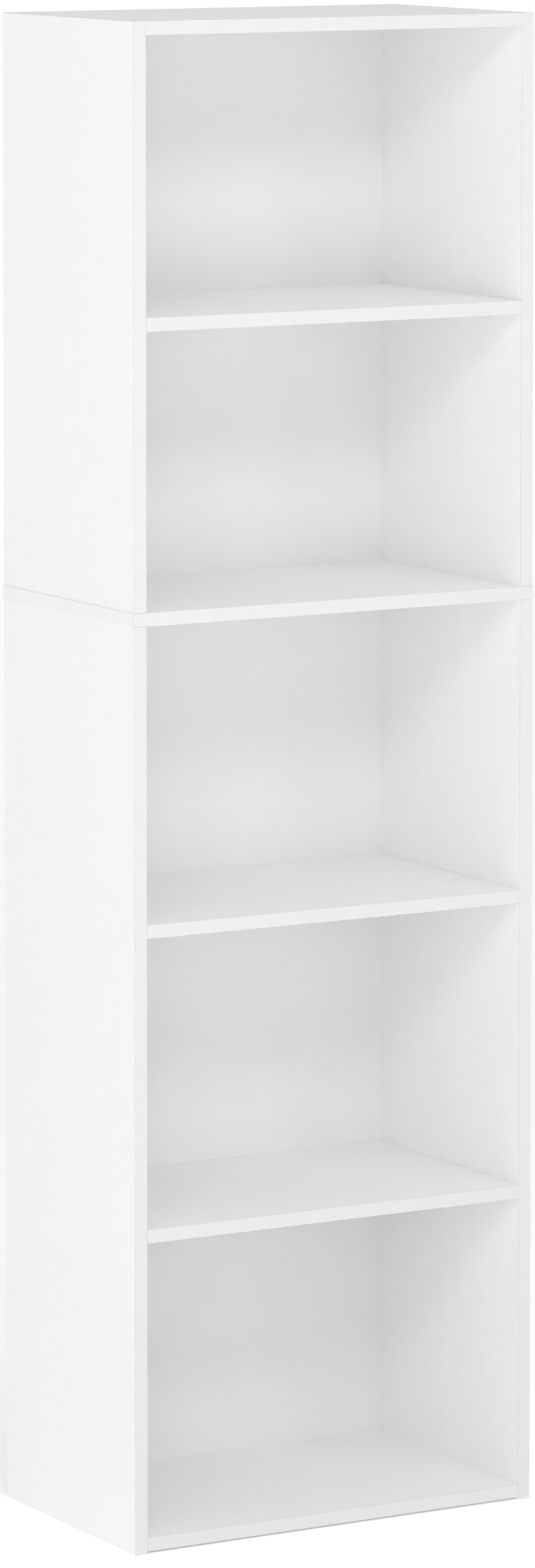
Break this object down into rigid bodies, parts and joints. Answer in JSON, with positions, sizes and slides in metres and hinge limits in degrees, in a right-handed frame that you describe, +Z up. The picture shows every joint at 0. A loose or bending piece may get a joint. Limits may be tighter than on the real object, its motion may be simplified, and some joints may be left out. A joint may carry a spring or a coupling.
{
  "type": "bookcase",
  "caption": "Narrow open bookcase of white laminated board with a through middle panel, loose shelves on pins and a thin back.",
  "frame": {"origin": "on the floor, under the middle of the case's width and depth", "axes": "+Z up; the open front faces -Y and the back panel +Y; +X to the right seen from the front"},
  "size_m": [0.402, 0.24, 1.32],
  "materials": {
    "white_laminate": "white melamine laminate on particle board, satin, faint printed grain",
    "back_hardboard": "white lacquered hardboard front, raw brown rear",
    "nickel_steel": "nickel plated",
    "zinc_cam": "cast zinc, matt",
    "bright_steel": "bright zinc plated",
    "beech_dowel": "plain beech, fluted"
  },
  "bodies": {
    "carcass": {"top_panel": "white_laminate", "middle_panel": "white_laminate", "bottom_panel": "white_laminate", "upper_left_side": "white_laminate", "upper_right_side": "white_laminate", "lower_left_side": "white_laminate", "lower_right_side": "white_laminate", "upper_back_panel": "back_hardboard", "lower_back_panel": "back_hardboard", "upper_shelf_pin_left_front": "nickel_steel", "upper_shelf_pin_left_rear": "nickel_steel", "upper_shelf_pin_right_front": "nickel_steel", "upper_shelf_pin_right_rear": "nickel_steel", "lower_shelf_high_pin_left_front": "nickel_steel", "lower_shelf_high_pin_left_rear": "nickel_steel", "lower_shelf_high_pin_right_front": "nickel_steel", "lower_shelf_high_pin_right_rear": "nickel_steel", "lower_shelf_low_pin_left_front": "nickel_steel", "lower_shelf_low_pin_left_rear": "nickel_steel", "lower_shelf_low_pin_right_front": "nickel_steel", "lower_shelf_low_pin_right_rear": "nickel_steel", "top_left_front_cam": "zinc_cam", "top_left_rear_cam": "zinc_cam", "top_right_front_cam": "zinc_cam", "top_right_rear_cam": "zinc_cam", "bottom_left_front_cam": "zinc_cam", "bottom_left_rear_cam": "zinc_cam", "bottom_right_front_cam": "zinc_cam", "bottom_right_rear_cam": "zinc_cam", "top_left_front_cam_bolt": "bright_steel", "top_left_rear_cam_bolt": "bright_steel", "top_right_front_cam_bolt": "bright_steel", "top_right_rear_cam_bolt": "bright_steel", "bottom_left_front_cam_bolt": "bright_steel", "bottom_left_rear_cam_bolt": "bright_steel", "bottom_right_front_cam_bolt": "bright_steel", "bottom_right_rear_cam_bolt": "bright_steel", "top_left_dowel": "beech_dowel", "bottom_left_dowel": "beech_dowel", "top_right_dowel": "beech_dowel", "bottom_right_dowel": "beech_dowel", "middle_left_front_dowel": "beech_dowel", "middle_left_rear_dowel": "beech_dowel", "middle_right_front_dowel": "beech_dowel", "middle_right_rear_dowel": "beech_dowel", "middle_left_front_screw": "bright_steel", "middle_left_rear_screw": "bright_steel", "middle_right_front_screw": "bright_steel", "middle_right_rear_screw": "bright_steel", "upper_back_nail_left_low": "bright_steel", "upper_back_nail_left_high": "bright_steel", "upper_back_nail_right_low": "bright_steel", "upper_back_nail_right_high": "bright_steel", "lower_back_nail_left_low": "bright_steel", "lower_back_nail_left_high": "bright_steel", "lower_back_nail_right_low": "bright_steel", "lower_back_nail_right_high": "bright_steel"},
    "upper_shelf": {"upper_shelf": "white_laminate"},
    "lower_shelf_high": {"lower_shelf_high": "white_laminate"},
    "lower_shelf_low": {"lower_shelf_low": "white_laminate"}
  },
  "joints": [
    {"name": "upper_shelf_slide", "type": "slide", "parent": "carcass", "child": "upper_shelf", "axis": [0, -1, 0], "range_m": [0, 0.24]},
    {"name": "lower_shelf_high_slide", "type": "slide", "parent": "carcass", "child": "lower_shelf_high", "axis": [0, -1, 0], "range_m": [0, 0.24]},
    {"name": "lower_shelf_low_slide", "type": "slide", "parent": "carcass", "child": "lower_shelf_low", "axis": [0, -1, 0], "range_m": [0, 0.24]}
  ]
}
